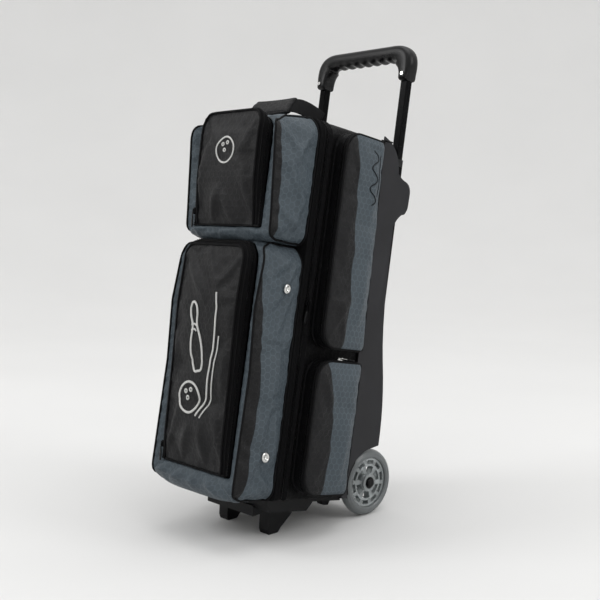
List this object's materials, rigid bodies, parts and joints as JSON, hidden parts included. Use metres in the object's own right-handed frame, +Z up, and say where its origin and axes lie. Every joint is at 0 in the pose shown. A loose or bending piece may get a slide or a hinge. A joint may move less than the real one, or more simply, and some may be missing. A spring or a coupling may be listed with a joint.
{
  "type": "rolling bowling bag",
  "caption": "Tall leaning wheeled bag for stacked bowling balls, with a hinged front door, zipped front and side pockets, a telescoping pull handle, feet and clear wheels.",
  "frame": {"origin": "on the floor, under the middle of the whole object's box", "axes": "+Z up, the front with its two large zipped pockets faces -Y, the pull handle and wheels are at +Y, +X is to the right of someone looking at the front"},
  "size_m": [0.3052, 0.4892, 0.9024],
  "materials": {
    "black_fabric": "matt, embossed hexagons",
    "grey_fabric": "slate grey, slight sheen, embossed hexagons",
    "webbing": "woven, matt",
    "zip": "satin",
    "shell_plastic": "fine grain",
    "tray_plastic": "moulded satin",
    "grip_plastic": "satin",
    "black_tube": "gloss",
    "steel": "polished",
    "foam": "soft foam",
    "wheel_core": "clear",
    "wheel_tyre": "clear grey, smooth"
  },
  "bodies": {
    "bag": {"main_wall": "black_fabric", "main_zip": "zip", "ball_cup_bottom": "foam", "ball_cup_middle": "foam", "ball_cup_top": "foam", "back_shell": "shell_plastic", "top_back_panel": "shell_plastic", "wheel_well_left": "shell_plastic", "wheel_well_right": "shell_plastic", "side_plate_left": "shell_plastic", "side_plate_right": "shell_plastic", "handle_bridge": "shell_plastic", "tube_seat_left": "shell_plastic", "tube_seat_right": "shell_plastic", "base_tray": "tray_plastic", "foot_left": "tray_plastic", "foot_right": "tray_plastic", "axle_housing": "tray_plastic", "axle": "steel", "axle_cap_left": "tray_plastic", "axle_cap_right": "tray_plastic", "outer_tube_left": "black_tube", "tube_guide_left": "grip_plastic", "outer_tube_right": "black_tube", "tube_guide_right": "grip_plastic", "carry_strap": "webbing", "carry_pad": "webbing", "left_upper_pocket": "black_fabric", "left_lower_pocket": "black_fabric", "right_upper_pocket": "black_fabric", "right_lower_pocket": "black_fabric"},
    "front_door": {"door_panel": "black_fabric", "upper_pocket": "grey_fabric", "lower_pocket": "grey_fabric", "vent_eyelet_left_top": "steel", "vent_eyelet_left_bottom": "steel", "vent_eyelet_right_top": "steel", "vent_eyelet_right_bottom": "steel", "door_slider": "steel"},
    "pull_handle": {"inner_tube_left": "black_tube", "tube_plug_left": "grip_plastic", "grip_screw_left": "steel", "inner_tube_right": "black_tube", "tube_plug_right": "grip_plastic", "grip_screw_right": "steel", "grip_front": "grip_plastic", "grip_rear": "grip_plastic"},
    "wheel_left": {"tyre_left": "wheel_tyre", "wheel_core_left": "wheel_core", "bearing_left": "steel"},
    "wheel_right": {"tyre_right": "wheel_tyre", "wheel_core_right": "wheel_core", "bearing_right": "steel"},
    "front_upper_flap": {"upper_flap": "black_fabric"},
    "front_lower_flap": {"lower_flap": "black_fabric"},
    "left_upper_cover": {"left_upper_flap": "grey_fabric"},
    "left_lower_cover": {"left_lower_flap": "grey_fabric"},
    "right_upper_cover": {"right_upper_flap": "grey_fabric"},
    "right_lower_cover": {"right_lower_flap": "grey_fabric"}
  },
  "joints": [
    {"name": "handle_slide", "type": "slide", "parent": "bag", "child": "pull_handle", "axis": [0, 0.1779, 0.984], "range_m": [-0.12, 0]},
    {"name": "door_hinge", "type": "hinge", "parent": "bag", "child": "front_door", "pos_m": [-0.117, -0.06373, 0.39961], "axis": [0, -0.1779, -0.984], "range_deg": [0, 105]},
    {"name": "wheel_spin_left", "type": "hinge", "parent": "bag", "child": "wheel_left", "pos_m": [-0.107, 0.10906, 0.0635], "axis": [1, 0, 0], "continuous": true},
    {"name": "wheel_spin_right", "type": "hinge", "parent": "bag", "child": "wheel_right", "pos_m": [0.107, 0.10906, 0.0635], "axis": [1, 0, 0], "continuous": true},
    {"name": "upper_flap_fold", "type": "hinge", "parent": "front_door", "child": "front_upper_flap", "pos_m": [0, -0.15878, 0.56212], "axis": [1, 0, 0], "range_deg": [0, 120]},
    {"name": "lower_flap_fold", "type": "hinge", "parent": "front_door", "child": "front_lower_flap", "pos_m": [0, -0.24272, 0.13728], "axis": [1, 0, 0], "range_deg": [0, 110]},
    {"name": "left_upper_cover_fold", "type": "hinge", "parent": "bag", "child": "left_upper_cover", "pos_m": [-0.1526, 0.09978, 0.51231], "axis": [0, -0.1779, -0.984], "range_deg": [0, 120]},
    {"name": "left_lower_cover_fold", "type": "hinge", "parent": "bag", "child": "left_lower_cover", "pos_m": [-0.1526, 0.04035, 0.18365], "axis": [0, -0.1779, -0.984], "range_deg": [0, 120]},
    {"name": "right_upper_cover_fold", "type": "hinge", "parent": "bag", "child": "right_upper_cover", "pos_m": [0.1526, 0.09978, 0.51231], "axis": [0, 0.1779, 0.984], "range_deg": [0, 120]},
    {"name": "right_lower_cover_fold", "type": "hinge", "parent": "bag", "child": "right_lower_cover", "pos_m": [0.1526, 0.04035, 0.18365], "axis": [0, 0.1779, 0.984], "range_deg": [0, 120]}
  ]
}
